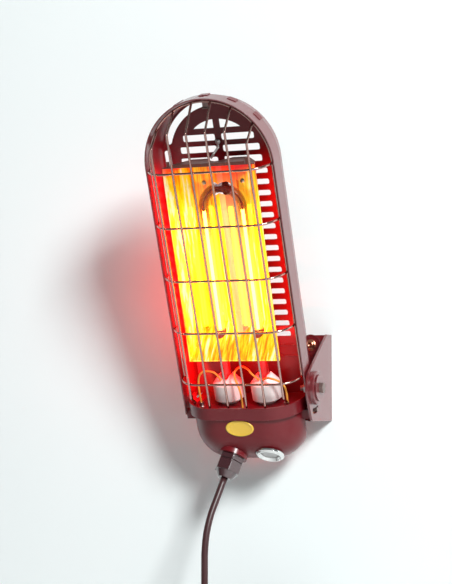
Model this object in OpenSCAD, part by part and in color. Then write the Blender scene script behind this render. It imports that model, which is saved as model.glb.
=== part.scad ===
// Wall-mounted infrared patio heater: an arched sheet-metal housing with a chrome wire guard,
// a polished W reflector and a U-shaped quartz lamp, tilting on a one-sided wall bracket.
// Millimetres. +X right, +Y into the wall, +Z up. The origin is the middle of the wall
// plate's back face. The heater is drawn upright about its pivot and then tilted.

/* [Pose] */
// Forward tilt of the heater in degrees
tilt = 23; // [10:1:26]

/* [Housing] */
// Outer width of the housing
body_w = 140; // [132:1:150]
// Height of the arch centre above the pivot
arch_h = 246; // [236:1:260]
// Depth of the straight band from front to rear
band_d = 19.5; // [16:0.5:24]
// Distance of the band's front edge ahead of the pivot
band_front = 13; // [11:0.5:14]
// Depth of the dished rear panel behind the band
pan_d = 17.7; // [14:0.1:20]
// How far the rear panel draws in on each side
pan_draw = 5; // [3:0.5:7]
// Sheet thickness of band and panel
sheet = 1.2; // [1:0.1:1.6]
// How far the band reaches below the pivot
band_drop = 25; // [24:1:30]

/* [Vents] */
// Number of vent rows below the arch
vent_rows = 16; // [8:1:16]
// Spacing of the vent rows
vent_pitch = 11.85; // [10:0.05:12]
// Height of one vent slot
vent_h = 5.6; // [4:0.1:6.4]
// Half length of a vent row
vent_half = 48.4; // [40:0.1:52]
// Half width of the spine between the slots
spine_half = 3.5; // [2.5:0.1:6]
// Radial width of the rim slots
rim_slot = 7; // [4:0.5:8]

/* [Reflector] */
// Lean of lamp and reflector against the housing, in degrees
lamp_lean = 2.3; // [0:0.1:2.5]
// Half width of the reflector at its front lips
refl_half = 49.5; // [46:0.5:55]
// Distance of the front lips ahead of the lamp
refl_front = 25; // [20:0.5:26]
// Distance of the trough floor behind the lamp
refl_back = 10; // [8.5:0.5:10]
// Height of the reflector's top above the pivot
refl_top = 246; // [232:1:248]
// Height of the bottom flap's front edge above the pivot
refl_low = 41; // [36:1:44]
// Sheet thickness of the reflector
refl_t = 1; // [0.8:0.1:1.2]

/* [Lamp] */
// Distance between the two legs of the lamp
leg_gap = 42.6; // [39:0.1:46]
// Outer diameter of the quartz tube
tube_d = 10.5; // [9:0.5:11.5]
// Wall thickness of the quartz tube
tube_wall = 1; // [0.8:0.1:1.2]
// Diameter of the glowing coil
coil_d = 3.4; // [2:0.1:5]
// Height of the bend's centre above the pivot
bend_h = 197; // [190:1:205]
// Diameter of a ceramic lamp holder
holder_d = 31.5; // [28:0.5:36]
// Height of a ceramic lamp holder
holder_h = 27; // [22:0.5:28]

/* [Guard] */
// Diameter of the guard wire
wire_d = 2.4; // [2:0.1:3]
// Distance of the hoops' front ahead of the pivot
guard_front = 32.5; // [31:0.5:33]
// Inset of the guard's side wires from the housing's outside
guard_inset = 4; // [3.8:0.1:6]
// Height of the lowest hoop above the pivot
hoop_low = 17; // [14:1:20]
// Spacing of the hoops
hoop_pitch = 57; // [54:0.5:58]
// Number of hoops
hoops = 5; // [4:1:5]
// Spacing of the upright wires
upright_pitch = 20.6; // [19:0.1:21]

/* [Base] */
// Half width of the base cup
cup_half = 62.2; // [61:0.1:62.2]
// Half width of the collar's inside
collar_half = 62.3; // [61.2:0.1:62.6]
// Distance of the cup's rear wall behind the pivot
cup_rear = 9; // [8:0.5:20]
// Radius of the cup's rear corners
cup_corner = 20; // [14:1:24]
// Rounding radius of the base cup
cup_r = 40; // [36:0.5:41]
// Distance of the cup's front ahead of the pivot
cup_front = 37.2; // [36.8:0.1:38]
// Distance of the cup's rim below the pivot
cup_top = 16; // [15.5:0.5:17]
// Height of the cup's straight wall
cup_wall = 22; // [18:0.5:24]
// Wall thickness of the base cup
cup_t = 2; // [1.5:0.1:2.5]
// Thickness of the collar
collar_t = 2.1; // [1.6:0.1:2.4]
// Height of the collar
collar_h = 13.5; // [12:0.5:14]
// Thickness of the lamp shelf
shelf_t = 1.5; // [1.2:0.1:2]

/* [Gland and switch] */
// Width across the flats of the cable gland
gland_af = 24; // [22:0.5:25]
// Length of the gland's cap nut
gland_nut_h = 12; // [11.8:0.1:14]
// Outer diameter of the cable
cord_d = 7.2; // [7:0.1:7.4]
// Outer diameter of the switch ring
switch_d = 30; // [27:0.5:31]
// Diameter of the hole for the switch
switch_hole = 22; // [20:0.5:23]
// Travel of the switch button
switch_travel = 2; // [1.5:0.1:2.5]

/* [Bracket] */
// Width of the wall plate
plate_w = 110; // [104:1:120]
// Height of the wall plate
plate_h = 92; // [90:1:100]
// Thickness of the bracket's steel
plate_t = 2.5; // [2:0.1:3]
// Distance of the pivot from the wall
pivot_y = 60; // [58:0.5:64]
// Distance of the pivot below the plate's middle
pivot_z = 11.25; // [10:0.25:12]
// Gap between the ear and the housing
ear_gap = 1.5; // [1:0.1:2]
// Radius of the ear round the pivot
ear_r = 21; // [19.5:0.5:22]
// Horizontal spacing of the wall holes
hole_x = 64; // [56:1:70]
// Vertical spacing of the wall holes
hole_z = 71; // [62:1:72]
// Diameter of the wall holes
hole_d = 5.5; // [4.5:0.1:6.5]
// Diameter of the pivot disc
disc_d = 35; // [30:0.5:36]
// Thickness of the pivot disc
disc_t = 5.6; // [4.5:0.1:7]
// Radius of the tilt stop's slot about the pivot
stop_r = 24; // [23:0.5:25]
// Diameter of the stop pin
stop_d = 5; // [4:0.1:5.4]

/* [Cord] */
// Radius of the cord's outermost turn in the coil
wind_r = 54; // [50:0.5:56]
// Turns in one layer of the coil
wind_turns = 3; // [2:1:3]

/* [Hidden] */

$fn = 64;
paint = [0.42, 0.06, 0.09];
dark_paint = [0.30, 0.05, 0.07];
chrome = [0.80, 0.81, 0.83];
steel = [0.62, 0.63, 0.65];
ceramic = [0.93, 0.92, 0.90];
black = [0.08, 0.07, 0.07];
eps = 0.01;
// Clearances: running fits between bodies, and seats within one
run = 0.3;
seat = 0.1;

// Housing, seen from its own pivot
arch_r = body_w / 2;
guard_half = arch_r - guard_inset;
band_y0 = -band_front;
band_y1 = band_y0 + band_d;
panel_y = band_y1 + pan_d - sheet;
panel_r = arch_r - pan_draw;
heater_x = plate_w / 2 - plate_t - ear_gap - arch_r;

// Vents: heights are measured from the arch centre
vent_first = -16;
vent_corner = 1.9;
upper_rows = [21.5, 9.3, -2.6];
upper_h = 6.9;
lens_r = 40.5;
lens_z = 31.2;
upper_end_r = 44.5;
rim_slot_r = panel_r - 2.9;
rim_slot_a0 = 20;
rim_slot_a1 = 77;
side_slot_z = [-12, 10.3];
fold_z = [27, 39];
panel_drop = 15;
tab_angles = [40, 65, 90, 115, 140];
tab_half = 4;
tab_t = 0.6;
tab_reach = 7;

// Base
cup_c = cup_half - cup_r;
cup_cy = cup_r - cup_front;
cup_cz = -cup_top - cup_wall;
collar_low = -cup_top - 4.5;
collar_r = 34;
collar_back = 6;
shelf_z = -cup_top + shelf_t;
lip_w = 1;
lug = [cup_half - 3, arch_r - sheet];
lug_y = -6.5;
lug_z = -26;
lug_w = 6;
screw_d = 4;
screw_l = 7;
screw_head = 7.5;
screw_dome = 14;

// Lamp and reflector
leg_x = leg_gap / 2;
holder_y = -0.5;
holder_bore = tube_d + 2;
bore_depth = 18;
holder_foot = 4.5;
holder_z = shelf_z + holder_foot;
tube_foot = holder_z + holder_h - bore_depth + 0.22;
pinch = 66;
lip_h = 2.5;
holder_side = 17.5;
holder_tip = 16;
flap_rise = 32;
flap_run = refl_front + refl_back + refl_t;
post_z = [80, 222];
lead_d = 2.2;
lead_end = [2, 12, 3];
eyelet = [48, -16];
eyelet_bore = lead_d + 1.8;
eyelet_h = [1.4, 5.4];
post_d = 6;

// Guard
guard_y = -8.4;
corner_r = guard_front + guard_y;
upright_y = guard_front + wire_d - 0.3;
knee = [40, 26];

// Switch and gland seats on the cup's lower front curve
face_a = 42;
switch_x = 25;
gland_x = -16.5;
gland_lean = -11.5;
gland_pad = 2.2;
gland_hex = 5.8;
gland_dome = 7;
gland_thread = 19;
cord_bore = cord_d + 0.4;

// Bracket
ear_x = plate_w / 2 - plate_t;
ear_top = 15;
ear_foot = 67;
ear_corner = 6;
bolt_d = 6;
bolt_af = 10;
bolt_h = 4;
washer_d = 28;
washer_t = 1.2;
stop_a = [-3, 28];
stop_gap = 0.5;
ring_r = 10.5;
ring_w = 1.6;
ring_h = 0.5;

// Cord: route from the gland down to the coil, then the wound length
cord_path = [
  [-41.0, -71.0, -106.1], [-42.2, -73.5, -111.4], [-43.8, -76.8, -118.5],
  [-45.8, -80.9, -127.4], [-47.8, -85.1, -136.3], [-49.2, -87.8, -142.7],
  [-50.3, -90.2, -149.4], [-51.2, -92.2, -156.2], [-52.0, -93.7, -163.2],
  [-52.5, -94.8, -170.3], [-52.8, -95.4, -177.4], [-53.0, -96.0, -185.0],
  [-53.0, -96.0, -201.0], [-53.0, -96.0, -218.0], [-53.0, -96.0, -235.0],
  [-53.0, -96.0, -252.0], [-53.0, -96.0, -269.0], [-53.0, -96.0, -292.8]
];
coil_at = [-53.0 + wind_r, -96.0, -300];
wind_pitch = cord_d + 0.6;
wind_steps = 24;
tail = 26;
plug_relief = 30;
plug_d = 36;
plug_h = 27;
pin_d = 4.8;
pin_l = 19;
pin_gap = 19;

// Carries the heater's own frame to its place on the bracket
module heater() {
  translate([heater_x, -pivot_y, -pivot_z]) rotate([tilt, 0, 0]) children();
}

// Carries the lamp's own frame, which leans back a little in the housing
module lamp_frame() {
  translate([0, holder_y, 0]) rotate([-lamp_lean, 0, 0]) children();
}

// A frame on the cup's lower front curve with +Z pointing out of it
module on_cup(x, lean = 0) {
  translate([0, cup_cy, cup_cz]) rotate([90 + face_a, 0, 0])
    translate([x, 0, cup_r]) rotate([0, lean, 0]) children();
}

module rod(a, b, d) {
  v = b - a;
  translate(a) rotate([0, acos(v[2] / norm(v)), atan2(v[1], v[0])])
    cylinder(d = d, h = norm(v));
}

module bent_wire(points, d, ball = 0) {
  for (i = [1 : len(points) - 1]) rod(points[i - 1], points[i], d);
  if (len(points) > 2)
    for (i = [1 : len(points) - 2]) translate(points[i]) sphere(d = d + ball);
}

module hex_prism(af, h) {
  cylinder(d = af / cos(30), h = h, $fn = 6);
}

module round_slot(x0, x1, z0, z1, r) {
  translate([x0 + r, z0]) square([x1 - x0 - 2 * r, z1 - z0]);
  translate([x0, z0 + r]) square([x1 - x0, z1 - z0 - 2 * r]);
  for (x = [x0 + r, x1 - r], z = [z0 + r, z1 - r]) translate([x, z]) circle(r);
}

// Housing

module arch_outline(r, low) {
  translate([0, arch_h]) circle(r, $fn = 128);
  translate([-r, -low]) square([2 * r, arch_h + low]);
}

module stand(y, t) {
  translate([0, y + t, 0]) rotate([90, 0, 0]) linear_extrude(t) children();
}

module housing_band() {
  color(paint) heater() difference() {
    union() {
      stand(band_y0, band_d) arch_outline(arch_r, band_drop);
      for (s = [-1, 1])
        translate([s * (arch_r - sheet / 2) - sheet / 2, lug_y - lug_w / 2, lug_z - 5])
          cube([sheet, lug_w, 11]);
    }
    stand(band_y0 - 1, band_d + 2) arch_outline(arch_r - sheet, band_drop + 1);
    for (s = [-1, 1]) translate([s * arch_r, lug_y, lug_z]) rotate([0, 90, 0])
      cylinder(d = screw_d + 0.4, h = 6, center = true);
    translate([arch_r, 0, 0]) rotate([0, 90, 0])
      cylinder(d = bolt_d + 0.2, h = 6, center = true);
    translate([arch_r, 0, -stop_r]) rotate([0, 90, 0])
      cylinder(d = stop_d, h = 6, center = true);
    translate([0, lug_y + 2.5, arch_h + arch_r - 3]) cylinder(d = 5.5, h = 6);
  }
}

// Small spring clip that hangs under the arch's apex
module apex_clip() {
  color(steel) heater() translate([-4, 1.5, arch_h + arch_r - sheet - 0.2]) {
    translate([0, 0, -1]) cube([8, 4.6, 1]);
    translate([1, 0, -12]) cube([6, 0.8, 11.5]);
    translate([1, -2.4, -12]) cube([6, 3.2, 0.8]);
  }
}

module vents() {
  for (z = upper_rows, s = [-1, 1]) mirror([s < 0 ? 1 : 0, 0])
    translate([0, arch_h + z])
      round_slot(spine_half, sqrt(upper_end_r ^ 2 - z ^ 2), -upper_h / 2, upper_h / 2, vent_corner);
  for (i = [0 : vent_rows - 1], s = [-1, 1]) mirror([s < 0 ? 1 : 0, 0])
    translate([0, arch_h + vent_first - i * vent_pitch])
      round_slot(spine_half, vent_half, -vent_h / 2, vent_h / 2, vent_corner);
  difference() {
    translate([0, arch_h]) circle(lens_r);
    translate([-lens_r, arch_h - lens_r]) square([2 * lens_r, lens_r + lens_z]);
    translate([-spine_half, arch_h]) square([2 * spine_half, lens_r]);
  }
}

module rim_vents() {
  mid = rim_slot_r - rim_slot / 2;
  for (s = [-1, 1]) mirror([s < 0 ? 1 : 0, 0]) {
    translate([0, arch_h]) {
      intersection() {
        difference() {
          circle(rim_slot_r, $fn = 128);
          circle(rim_slot_r - rim_slot, $fn = 128);
        }
        polygon([
          [0, 0], 2 * arch_r * [cos(rim_slot_a0), sin(rim_slot_a0)],
          2 * arch_r * [1, 1], 2 * arch_r * [cos(rim_slot_a1), sin(rim_slot_a1)]
        ]);
      }
      for (a = [rim_slot_a0, rim_slot_a1]) translate(mid * [cos(a), sin(a)]) circle(rim_slot / 2 - 0.05);
    }
    translate([0, arch_h])
      round_slot(mid - rim_slot / 2, rim_slot_r, side_slot_z[0], side_slot_z[1], 3);
  }
}

// The dished rim's section: a sloping wall from the band's rear edge to the flat panel
module rim_section() {
  polygon([
    [arch_r - sheet, band_y1], [arch_r, band_y1], [panel_r, panel_y + sheet],
    [panel_r - 2 * sheet, panel_y + sheet], [panel_r - 2 * sheet, panel_y],
    [panel_r - sheet, panel_y]
  ]);
}

module back_panel() {
  color(paint) heater() {
    stand(panel_y, sheet) difference() {
      arch_outline(panel_r - 1.5 * sheet, panel_drop);
      vents();
      rim_vents();
    }
    translate([0, 0, arch_h]) rotate([90, 0, 0]) mirror([0, 0, 1])
      rotate_extrude(angle = 180, $fn = 128) rim_section();
    for (s = [-1, 1]) mirror([s < 0 ? 1 : 0, 0, 0]) translate([0, 0, -panel_drop])
      linear_extrude(arch_h + panel_drop) rim_section();
    for (z = fold_z) translate([-panel_r + 6, panel_y - 0.8, z])
      cube([2 * panel_r - 12, 1, 1.2]);
  }
}

// Folded tabs that hook the panel over the band's rear edge
module panel_tabs() {
  color(paint) heater() for (a = tab_angles) translate([0, 0, arch_h]) rotate([90, 0, 0])
    mirror([0, 0, 1]) rotate([0, 0, a - tab_half]) rotate_extrude(angle = 2 * tab_half, $fn = 128)
      translate([arch_r, band_y1 - tab_reach]) square([tab_t, tab_reach + 1.4]);
}

module side_screws() {
  color(steel) heater() for (s = [-1, 1]) mirror([s < 0 ? 1 : 0, 0, 0])
    translate([arch_r, lug_y, lug_z]) rotate([0, 90, 0]) difference() {
      union() {
        translate([0, 0, -screw_l]) cylinder(d = screw_d - 2 * seat, h = screw_l);
        intersection() {
          cylinder(d = screw_head, h = ear_gap - 2 * run + seat);
          translate([0, 0, 1 - screw_dome / 2]) sphere(d = screw_dome);
        }
      }
      translate([-0.5, -4, 0.5]) cube([1, 8, 1]);
    }
}

// Reflector and lamp

// Half of the W section, from the front lip over the trough to the middle ridge
refl_pts = [
  [refl_half, -refl_front], [refl_half - 5, -refl_front + 15], [refl_half - 13, 2],
  [leg_x + 9, refl_back], [leg_x - 7, refl_back], [5, -2], [0, -5]
];

function mirrored(p) = [for (i = [len(p) - 2 : -1 : 0]) [-p[i][0], p[i][1]]];
function unit(v) = v / norm(v);
function normal2(a, b) = let (d = unit(b - a)) [-d[1], d[0]];
// The same line moved sideways by t, mitred at its corners
function shifted(p, t) = [
  for (i = [0 : len(p) - 1])
    let (n0 = normal2(p[max(i - 1, 0)], p[max(i, 1)]),
         n1 = normal2(p[min(i, len(p) - 2)], p[min(i + 1, len(p) - 1)]),
         m = unit(n0 + n1))
    p[i] + m * t / (m * n1)
];
function reversed(p) = [for (i = [len(p) - 1 : -1 : 0]) p[i]];

module trough_section() {
  line = concat(refl_pts, mirrored(refl_pts));
  polygon(concat(line, reversed(shifted(line, -refl_t))));
}

module trough_inside() {
  polygon(concat(refl_pts, mirrored(refl_pts)));
}

// The slanting bottom: everything below it is cut from the trough
module flap_slab(t) {
  a = atan2(flap_rise, flap_run);
  translate([0, -refl_front, refl_low]) rotate([a, 0, 0])
    translate([-refl_half - 5, -10, -t]) cube([2 * refl_half + 10, 80, t]);
}

module reflector() {
  color(chrome) heater() lamp_frame() {
    difference() {
      translate([0, 0, refl_low - 5]) linear_extrude(refl_top - refl_low + 5) trough_section();
      translate([0, 0, -refl_t]) flap_slab(60);
      translate([0, 0, bend_h]) rotate([90, 0, 0]) rotate_extrude(angle = 180)
        translate([leg_x, 0]) circle(d = tube_d + 3);
    }
    difference() {
      intersection() {
        translate([0, 0, refl_low - 10]) linear_extrude(refl_top - refl_low)
          offset(delta = refl_t / 2) trough_inside();
        flap_slab(refl_t);
      }
      for (s = [-1, 1]) translate([s * leg_x, 0, 0]) cylinder(d = tube_d + 2, h = refl_top);
    }
  }
}

// Dull plate that closes the reflector's top, with a low front lip and two small ears
module reflector_cap() {
  color(steel) heater() lamp_frame() {
    translate([0, 0, refl_top]) linear_extrude(refl_t) trough_inside();
    translate([-refl_half + 10, -refl_front, refl_top]) cube([2 * refl_half - 20, refl_t, lip_h + refl_t]);
    for (x = [-refl_half + 5, refl_half - 9]) translate([x, -refl_front, refl_top])
      cube([3, refl_t, 7]);
  }
}

module reflector_posts() {
  color(steel) heater() difference() {
    lamp_frame() for (s = [-1, 1], z = post_z)
      translate([s * leg_x, refl_back + refl_t, z]) rotate([-90, 0, 0]) cylinder(d = post_d, h = 30);
    translate([-arch_r, panel_y, 0]) cube([body_w, 40, arch_h + arch_r]);
  }
}

module reflector_rivets() {
  color(steel) heater() lamp_frame() for (s = [-1, 1], z = post_z)
    translate([s * leg_x, refl_back, z]) rotate([90, 0, 0]) intersection() {
      cylinder(d = 5, h = 1.4);
      translate([0, 0, -2.4]) sphere(d = 7.6);
    }
}

// The wire hook that steadies the reflector's top from the panel's spine
module top_hook() {
  z = refl_top + refl_t + 1.7;
  color(steel) heater() {
    translate([0, panel_y - 2.6, arch_h + 17]) sphere(d = 5.2);
    bent_wire([[0, panel_y - 3, arch_h + 17], [1, panel_y - 7, arch_h + 12],
               [-3, panel_y - 11, arch_h + 7], [-6, panel_y - 13, z]], 2.4, 0.2);
  }
}

module lamp_path(d, foot) {
  for (s = [-1, 1]) translate([s * leg_x, 0, foot]) cylinder(d = d, h = bend_h - foot);
  translate([0, 0, bend_h]) rotate([90, 0, 0]) rotate_extrude(angle = 180)
    translate([leg_x, 0]) circle(d = d);
}

module lamp_tube() {
  color([0.95, 0.9, 0.85, 0.4]) heater() lamp_frame() difference() {
    lamp_path(tube_d, pinch);
    lamp_path(tube_d - 2 * tube_wall, pinch - 1);
  }
}

// The lamp's cold ends, which stand in the holders and close the tube
module lamp_ends() {
  color(black) heater() lamp_frame() for (s = [-1, 1]) translate([s * leg_x, 0, tube_foot])
    cylinder(d = tube_d, h = pinch - tube_foot);
}

module lamp_coil() {
  color([1, 0.6, 0.2]) heater() lamp_frame() for (s = [-1, 1]) translate([s * leg_x, 0, pinch])
    cylinder(d = coil_d, h = bend_h - 3 - pinch);
}

module lamp_bridge() {
  color(steel) heater() lamp_frame() {
    for (s = [-1, 1]) translate([s * leg_x, 0, bend_h - 3]) cylinder(d = 1.6, h = 3);
    translate([0, 0, bend_h]) rotate([90, 0, 0]) rotate_extrude(angle = 180)
      translate([leg_x, 0]) circle(d = 1.6);
  }
}

module lamp_holder(s) {
  top = holder_z + holder_h;
  color(ceramic) heater() translate([s * leg_x, holder_y, 0]) difference() {
    union() {
      translate([0, 0, shelf_z]) cylinder(d = holder_d - 12, h = holder_foot + eps);
      translate([0, 0, holder_z]) cylinder(d = holder_d, h = holder_side);
      translate([0, 0, holder_z + holder_side - eps])
        cylinder(d1 = holder_d, d2 = holder_tip, h = holder_h - holder_side);
    }
    translate([0, 0, top - bore_depth]) cylinder(d = holder_bore, h = bore_depth + 1);
    translate([0, holder_d, top + 0.8]) rotate([90, 0, 0]) cylinder(d = 11, h = 2 * holder_d);
    translate([0, 0, shelf_z - 1]) cylinder(d = 5, h = holder_h);
  }
}

module lamp_holder_left() {
  lamp_holder(-1);
}

module lamp_holder_right() {
  lamp_holder(1);
}

// Base

// Half section that the cup's form sweeps: a rounded block, flat in the middle
module cup_section(r) {
  intersection() {
    union() {
      translate([0, -cup_c]) square([r, 2 * cup_c]);
      for (s = [-1, 1]) translate([0, s * cup_c]) circle(r);
    }
    translate([0, -cup_c - r]) square([r, 2 * (cup_c + r)]);
  }
}

module cup_form(r, rear, top) {
  translate([0, cup_cy, cup_cz]) {
    linear_extrude(top - cup_cz) rotate([0, 0, -90]) cup_section(r);
    rotate([0, -90, 0]) rotate([0, 0, 180]) rotate_extrude(angle = 90) cup_section(r);
    rotate([-90, 0, 0]) linear_extrude(rear - cup_cy) rotate([0, 0, 90]) cup_section(r);
  }
  translate([-cup_c - r, cup_cy, cup_cz]) cube([2 * (cup_c + r), rear - cup_cy, top - cup_cz]);
}

// Keeps what lies inside the cup's plan, whose rear corners are round
module cup_plan(inset) {
  half = cup_half - inset;
  rear = cup_rear - inset;
  r = cup_corner - inset;
  translate([0, 0, -90]) linear_extrude(80) {
    translate([-half - 5, -60]) square([2 * half + 10, 60 + rear - r]);
    translate([-half + r, -60]) square([2 * (half - r), 65 + rear]);
    for (s = [-1, 1]) translate([s * (half - r), rear - r]) circle(r - 0.03);
  }
}

module base_cup() {
  color(dark_paint) heater() difference() {
    union() {
      difference() {
        intersection() {
          cup_form(cup_r, cup_rear, -cup_top);
          cup_plan(0);
        }
        intersection() {
          cup_form(cup_r - cup_t, cup_rear - cup_t, -cup_top + 1);
          cup_plan(cup_t);
        }
      }
      intersection() {
        cup_form(cup_r - cup_t / 2, cup_rear, -cup_top);
        union() {
          on_cup(switch_x) translate([0, 0, -6]) cylinder(d = switch_d + 4, h = 6);
          on_cup(gland_x, gland_lean) translate([0, 0, -6]) cylinder(d = gland_af + 6, h = 6);
        }
      }
      on_cup(gland_x, gland_lean) translate([0, 0, -3])
        cylinder(d = gland_af / cos(30) + 3, h = 3 + gland_pad);
      for (s = [-1, 1]) translate([s > 0 ? lug[0] : -lug[1], lug_y - lug_w / 2, lug_z - 5])
        cube([lug[1] - lug[0], lug_w, 10]);
    }
    on_cup(switch_x) translate([0, 0, -1.5]) cylinder(d = switch_d + 1, h = 10);
    on_cup(switch_x) translate([0, 0, -20]) cylinder(d = switch_hole, h = 30);
    on_cup(gland_x, gland_lean) translate([0, 0, -20]) cylinder(d = gland_thread + 0.4, h = 30);
    for (s = [-1, 1]) translate([s * (arch_r - 8), lug_y, lug_z]) rotate([0, 90, 0])
      cylinder(d = screw_d - 0.2, h = 20, center = true);
  }
}

// Plan of shelf and collar, grown outwards by g: straight front and sides, round front corners
module plan(g, y1) {
  half = collar_half + g;
  r = collar_r + g;
  y0 = -cup_front - seat - g;
  for (s = [-1, 1]) translate([s * (half - r), y0 + r]) intersection() {
    circle(r);
    translate([-r, -r]) square([2 * r, r]);
  }
  translate([r - half, y0]) square([2 * (half - r), y1 - y0]);
  translate([-half, y0 + r]) square([2 * half, y1 - y0 - r]);
}

module base_collar() {
  color(paint) heater() {
    translate([0, 0, collar_low]) linear_extrude(collar_h) difference() {
      plan(collar_t, collar_back);
      plan(0, collar_back + 1);
    }
    translate([0, 0, shelf_z]) linear_extrude(lip_w) difference() {
      plan(collar_t / 2, collar_back);
      plan(-lip_w, collar_back + 1);
    }
  }
}

module lamp_shelf() {
  color(dark_paint) heater() translate([0, 0, -cup_top]) linear_extrude(shelf_t) difference() {
    plan(-seat, panel_y - seat);
    for (s = [-1, 1]) translate([s * leg_x, holder_y]) circle(d = 6);
    for (s = [-1, 1]) translate([s * eyelet[0], eyelet[1]]) circle(d = eyelet_bore + 1);
  }
}

module terminal_block() {
  w = 42;
  color(ceramic) heater() translate([-w / 2, -12, -cup_top - 15]) difference() {
    cube([w, 18, 15]);
    for (i = [0 : 2]) translate([w * (i + 0.5) / 3, 9, -1]) cylinder(d = 6, h = 8);
    for (i = [0 : 2]) translate([w * (i + 0.5) / 3, -1, 9]) rotate([-90, 0, 0]) cylinder(d = 4, h = 20);
  }
}

// The left lead arches out to its eyelet, the right one passes between the holders
module lamp_leads() {
  x = leg_x;
  e = eyelet;
  y = -lead_end[1];
  t = holder_z + holder_h - lead_end[2];
  low = -cup_top - 8;
  color([0.75, 0.2, 0.1]) heater() {
    bent_wire([[-x - lead_end[0], y, t], [-x - 8, y - 3, t + 11], [-x - 20, y - 5, t + 11],
               [-e[0], e[1], t - 2], [-e[0], e[1], low]], lead_d, 0.3);
    bent_wire([[x - lead_end[0], y, t], [x - 8, y - 3, t + 8], [9, y - 2, t + 14], [0, y + 2, t + 15],
               [-6, y - 4, t + 8], [0, y - 9, t - 10], [0, y - 9, shelf_z]], lead_d, 0.3);
    bent_wire([[x + lead_end[0], y, t], [x + 12, y - 5, t + 4], [e[0], e[1], t - 6], [e[0], e[1], low]],
              lead_d, 0.3);
  }
}

module lead_eyelets() {
  color(steel) heater() for (s = [-1, 1]) translate([s * eyelet[0], eyelet[1], shelf_z]) difference() {
    union() {
      cylinder(d = eyelet_bore + 4, h = eyelet_h[0]);
      cylinder(d = eyelet_bore + 1.6, h = eyelet_h[1]);
    }
    translate([0, 0, -1]) cylinder(d = eyelet_bore, h = eyelet_h[1] + 2);
  }
}

// Guard

module hoop(z) {
  mid = guard_half - corner_r;
  translate([-mid, -guard_front, z]) rotate([0, 90, 0]) cylinder(d = wire_d, h = 2 * mid);
  for (s = [-1, 1]) mirror([s < 0 ? 1 : 0, 0, 0]) translate([mid, guard_y, z])
    rotate([0, 0, -90]) rotate_extrude(angle = 90) translate([corner_r, 0]) circle(d = wire_d);
}

// An upright stands on the shelf, clears the collar, leans back at its knee and meets the arch wire
module upright(x) {
  mid = guard_half - corner_r;
  inner = abs(x) < mid;
  out = inner ? upright_y : -guard_y + sqrt((corner_r + wire_d - 0.3) ^ 2 - (abs(x) - mid) ^ 2);
  side = max(0, abs(x) - collar_half + collar_r);
  foot = min(out, cup_front - collar_r + sqrt((collar_r - lip_w - wire_d / 2 - 0.2) ^ 2 - side ^ 2));
  top = collar_low + collar_h;
  k = arch_h + knee[inner ? 0 : 1];
  bent_wire([[x, -foot, shelf_z], [x, -foot, top + 2], [x, -out, top + 9],
             [x, -out, k],
             [x, guard_y, arch_h + sqrt(guard_half ^ 2 - x ^ 2)]], wire_d);
}

module wire_guard() {
  low = hoop_low;
  color(chrome) heater() {
    for (i = [0 : hoops - 1]) hoop(hoop_low + i * hoop_pitch);
    for (s = [-1, 1], k = [0.5, 1.5, 2.5]) upright(s * k * upright_pitch);
    for (s = [-1, 1]) translate([s * guard_half, guard_y, low])
      cylinder(d = wire_d, h = arch_h - low);
    translate([0, guard_y, arch_h]) rotate([90, 0, 0]) rotate_extrude(angle = 180)
      translate([guard_half, 0]) circle(d = wire_d);
  }
}

// Gland

module gland_body() {
  color(black) heater() on_cup(gland_x, gland_lean) difference() {
    union() {
      translate([0, 0, gland_pad]) hex_prism(gland_af, gland_hex);
      translate([0, 0, gland_pad + gland_hex - eps]) cylinder(d = gland_thread, h = 9);
      translate([0, 0, -14]) cylinder(d = gland_thread, h = 14 + gland_pad + eps);
    }
    translate([0, 0, -15]) cylinder(d = 13, h = 45);
  }
}

module gland_seal() {
  color(black) heater() on_cup(gland_x, gland_lean)
    translate([0, 0, gland_pad + gland_hex]) difference() {
      cylinder(d = 12.8, h = 12);
      translate([0, 0, -1]) cylinder(d = cord_bore, h = 14);
    }
}

module gland_nut() {
  z = gland_pad + gland_hex + 0.8;
  color(black) heater() on_cup(gland_x, gland_lean) difference() {
    union() {
      translate([0, 0, z]) hex_prism(gland_af, gland_nut_h);
      translate([0, 0, z + gland_nut_h - eps]) cylinder(d1 = gland_af - 1, d2 = 14, h = gland_dome);
    }
    translate([0, 0, z - 1]) cylinder(d = gland_thread + 0.2, h = 1 + 11.4);
    translate([0, 0, z]) cylinder(d = cord_bore, h = 40);
  }
}

module gland_locknut() {
  color(black) heater() on_cup(gland_x, gland_lean) translate([0, 0, -11.2]) difference() {
    hex_prism(gland_af, 5);
    translate([0, 0, -1]) cylinder(d = gland_thread + 0.2, h = 8);
  }
}

// Switch

module switch_bezel() {
  color(chrome) heater() on_cup(switch_x) difference() {
    union() {
      translate([0, 0, -1.5]) cylinder(d = switch_d, h = 2);
      translate([0, 0, 0.5 - eps]) cylinder(d1 = switch_d, d2 = switch_d - 4, h = 1.6);
      translate([0, 0, -18]) cylinder(d = switch_hole - 0.4, h = 17);
    }
    translate([0, 0, -12]) cylinder(d = switch_hole - 3, h = 20);
    translate([0, 0, -0.4]) cylinder(d1 = switch_hole - 3, d2 = switch_d - 6, h = 2.6);
  }
}

module switch_button() {
  color(black) heater() on_cup(switch_x) {
    translate([0, 0, -9]) cylinder(d = switch_hole - 3 - 2 * run, h = 7.6);
    translate([0, 0, -1.4 - eps]) cylinder(d1 = switch_hole - 4.4, d2 = switch_hole - 6, h = 0.8);
  }
}

module switch_locknut() {
  color(steel) heater() on_cup(switch_x) translate([0, 0, -10.2]) difference() {
    hex_prism(switch_hole + 4, 3.2);
    translate([0, 0, -1]) cylinder(d = switch_hole, h = 6);
  }
}

// Bracket and pivot

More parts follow.
